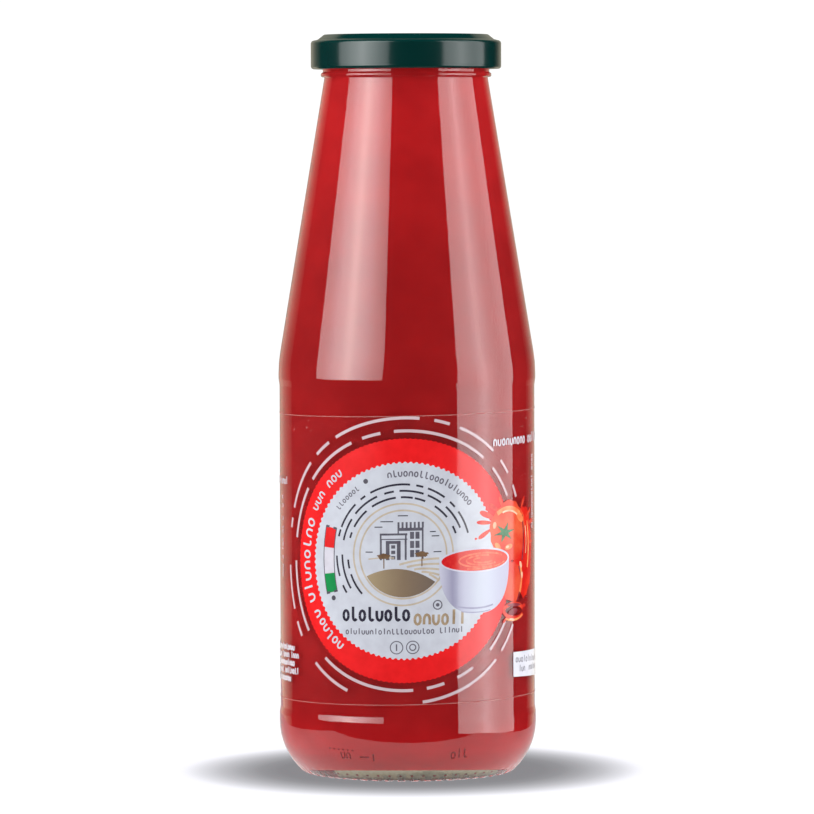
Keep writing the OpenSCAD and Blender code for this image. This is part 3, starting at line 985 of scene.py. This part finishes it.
def make_world():
    """White to the camera and grey through bare glass; as a light, bright at both sides."""
    world = bpy.data.worlds.new("studio")
    bpy.context.scene.world = world
    world.use_nodes = True
    tree = world.node_tree
    tree.nodes.clear()
    out = tree.nodes.new("ShaderNodeOutputWorld")
    white = tree.nodes.new("ShaderNodeBackground")
    white.inputs["Color"].default_value = (1, 1, 1, 1)
    white.inputs["Strength"].default_value = ROOM_WHITE
    room = tree.nodes.new("ShaderNodeBackground")
    room.inputs["Color"].default_value = (1, 1, 1, 1)
    path = tree.nodes.new("ShaderNodeLightPath")
    mix = tree.nodes.new("ShaderNodeMixShader")
    place = place_in(tree, "Generated")
    x, z = place["X"], place["Z"]
    sides = maths(tree, "MULTIPLY_ADD", maths(tree, "MULTIPLY", x, x), ROOM_SIDES, ROOM_MIDDLE)
    lean = maths(tree, "MULTIPLY_ADD", x, ROOM_LEAN, 1.0)
    level = maths(tree, "SUBTRACT", 1.0, maths(tree, "MULTIPLY", z, z))
    level = maths(tree, "MULTIPLY", level, level)
    strength = maths(tree, "MULTIPLY", maths(tree, "MULTIPLY", sides, lean), level)
    lit = maths(tree, "GREATER_THAN", path.outputs["Diffuse Depth"], 0.5)
    strength = maths(tree, "MULTIPLY", lit, strength)
    strength = maths(tree, "MULTIPLY_ADD", maths(tree, "SUBTRACT", 1.0, lit), ROOM_THROUGH,
                     strength)
    tree.links.new(strength, room.inputs["Strength"])
    tree.links.new(path.outputs["Is Camera Ray"], mix.inputs[0])
    tree.links.new(room.outputs[0], mix.inputs[1])
    tree.links.new(white.outputs[0], mix.inputs[2])
    tree.links.new(mix.outputs[0], out.inputs["Surface"])
    world.cycles_visibility.glossy = False


def make_overhead():
    """A round softbox straight above. The floor's own colour is nearly black, so it adds little
    there; the shade round the foot is painted into the floor's glow.
    """
    height, level = 1.3, 0.75
    lamp = bpy.data.lights.new("overhead", "AREA")
    lamp.shape = "DISK"
    lamp.size = 0.26
    lamp.energy = level * (math.pi * height) ** 2
    obj = bpy.data.objects.new("overhead", lamp)
    bpy.context.scene.collection.objects.link(obj)
    obj.location = (0, 0, height)
    obj.visible_transmission = False
    obj.visible_glossy = False


def make_floor_with_painted_shadow():
    """A pale floor that glows as evenly as the backdrop away from the bottle, with a painted shadow
    round the foot and a painted pale disc under the base.
    """
    under = 0.026  # as far out as the glass of the base shows the floor; inside it a pale disc is painted for light through the base
    # painted shadow: the floor's glow by distance from the axis, dark round the foot and fading out
    # to white
    levels = ((0.0, 0.7), (under, 0.7), (0.029, 0.24), (0.040, 0.24), (0.046, 0.28),
              (0.052, 0.38), (0.058, 0.52), (0.064, 0.72), (0.069, 0.92), (0.074, 0.99))
    reach = 0.1
    mesh = bpy.data.meshes.new("floor")
    mesh.from_pydata([(-1, -0.3, 0), (1, -0.3, 0), (1, 1.2, 0), (-1, 1.2, 0)],
                     [], [(0, 1, 2, 3)])
    floor = bpy.data.objects.new("floor", mesh)
    # moves the painted shadow's centre 1.2 mm to the right
    floor.location.x = 0.0012
    bpy.context.scene.collection.objects.link(floor)
    material, tree, shader = blank_material("floor")
    mottle(tree, shader, (0.02, 0.02, 0.02), (0.03, 0.03, 0.03), 8)
    place = tree.nodes.new("ShaderNodeTexCoord")
    flat = tree.nodes.new("ShaderNodeVectorMath")
    flat.operation = "LENGTH"
    tree.links.new(place.outputs["Object"], flat.inputs[0])
    ramp = tree.nodes.new("ShaderNodeValToRGB")
    first, last = ramp.color_ramp.elements
    last.position, last.color = levels[-1][0] / reach, (1, 1, 1, 1)
    for at, level in levels[:-1]:
        # the painted disc under the base is tinted cream, the painted shadow faintly blue
        green, blue = (0.86, 0.7) if at <= under else (1.0, 1.06)
        stop = ramp.color_ramp.elements.new(at / reach) if at > 0 else first
        stop.color = (level, level * green, level * blue, 1)
    tree.links.new(maths(tree, "DIVIDE", flat.outputs["Value"], reach), ramp.inputs["Fac"])
    tree.links.new(ramp.outputs["Color"], shader.inputs["Emission Color"])
    shader.inputs["Emission Strength"].default_value = 1.03
    shader.inputs["Roughness"].default_value = 0.8
    shader.inputs["Specular IOR Level"].default_value = 0.0
    mesh.materials.append(material)
    floor.visible_glossy = False


def make_camera():
    """The photo's view: a long lens, a little above the middle of the bottle."""
    camera = bpy.data.objects.new("camera", bpy.data.cameras.new("camera"))
    bpy.context.scene.collection.objects.link(camera)
    camera.location = (0, -CAMERA_BACK, CAMERA_UP)
    camera.rotation_euler = (math.radians(90 - CAMERA_DOWN), 0, 0)
    camera.rotation_euler.rotate_axis("Z", math.radians(CAMERA_ROLL))
    camera.data.sensor_width = 36
    camera.data.lens = CAMERA_LENS
    camera.data.clip_start = 0.05
    camera.data.clip_end = 50
    bpy.context.scene.camera = camera


def make_studio():
    """A tall soft light at each side, a pale wall behind and a pale table."""
    make_world()
    make_overhead()
    make_floor_with_painted_shadow()
    make_camera()
    left = ((0.0, 0.36), (0.19, 0.49), (0.27, 0.63), (0.42, 0.83), (0.5, 1.0), (0.573, 0.84),
            (0.648, 0.74), (0.733, 0.61), (0.826, 0.48), (0.92, 0.39), (1.0, 0.33))
    right = ((0.0, 0.64), (0.09, 0.66), (0.234, 0.71), (0.33, 0.77), (0.415, 0.9), (0.48, 1.0),
             (0.55, 0.84), (0.65, 0.65), (0.77, 0.52), (0.91, 0.52), (1.0, 0.5))
    rising = ((0.0, 0.9), (0.1, 0.92), (0.35, 1.0), (1.0, 1.0))
    card("card_left", (-87, -87), (-21.5, -15), 0.088, 1.1, 11.5, left, rising)
    card("card_right", (45, 45), (109.5, 103), -0.145, 1.1, 7.2, right, rising, 0.2)
    wall = [(-1.6, 1.25, -0.3), (1.2, 1.25, -0.3), (1.2, 1.25, 1.2), (-1.6, 1.25, 1.2)]
    sides = ((0.0, 0.1), (0.21, 0.33), (0.293, 0.45), (0.36, 0.54), (0.42, 0.5), (0.47, 0.36),
             (0.52, 0.3), (0.61, 0.3), (0.66, 0.42), (0.76, 0.4), (0.85, 0.26), (0.93, 0.12),
             (1.0, 0.05))
    fading = ((0.0, 0.75), (0.11, 0.75), (0.17, 0.52), (0.27, 0.42), (1.0, 0.41))
    emitter("card_back", wall, 2.8, sides, fading, tint=(1.08, 1.0, 0.79))
    table = [(-0.13, -0.07, -0.001), (0.1, -0.07, -0.001), (0.1, 0.6, -0.001),
             (-0.13, 0.6, -0.001)]
    even = ((0.0, 1.0), (1.0, 1.0))
    away = ((0.0, 1.0), (0.06, 1.0), (0.12, 0.58), (0.3, 0.42), (1.0, 0.35))
    emitter("card_table", table, 1.5, even, away)
    for name, x in (("card_fill_left", -0.7), ("card_fill_right", 0.7)):
        side = [(x, -0.35, 0.02), (x, 0.35, 0.02), (x, 0.35, 0.5), (x, -0.35, 0.5)]
        fill = emitter(name, side, 5.2, even, even)
        fill.visible_glossy = False
        fill.visible_transmission = True
    bpy.context.scene.view_settings.view_transform = "Standard"


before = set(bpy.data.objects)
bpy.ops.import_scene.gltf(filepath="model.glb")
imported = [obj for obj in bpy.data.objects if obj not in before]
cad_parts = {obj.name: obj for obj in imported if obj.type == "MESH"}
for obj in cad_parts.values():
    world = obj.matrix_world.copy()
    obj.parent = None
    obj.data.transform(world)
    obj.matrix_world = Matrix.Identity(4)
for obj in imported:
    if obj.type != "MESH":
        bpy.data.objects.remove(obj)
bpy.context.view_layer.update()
boxes = read_frame()
make_glass(boxes)
make_passata(boxes)
make_cap(boxes)
heel_marks(boxes)
paint_foot_light_and_shade(boxes)
build_label(boxes)
make_studio()
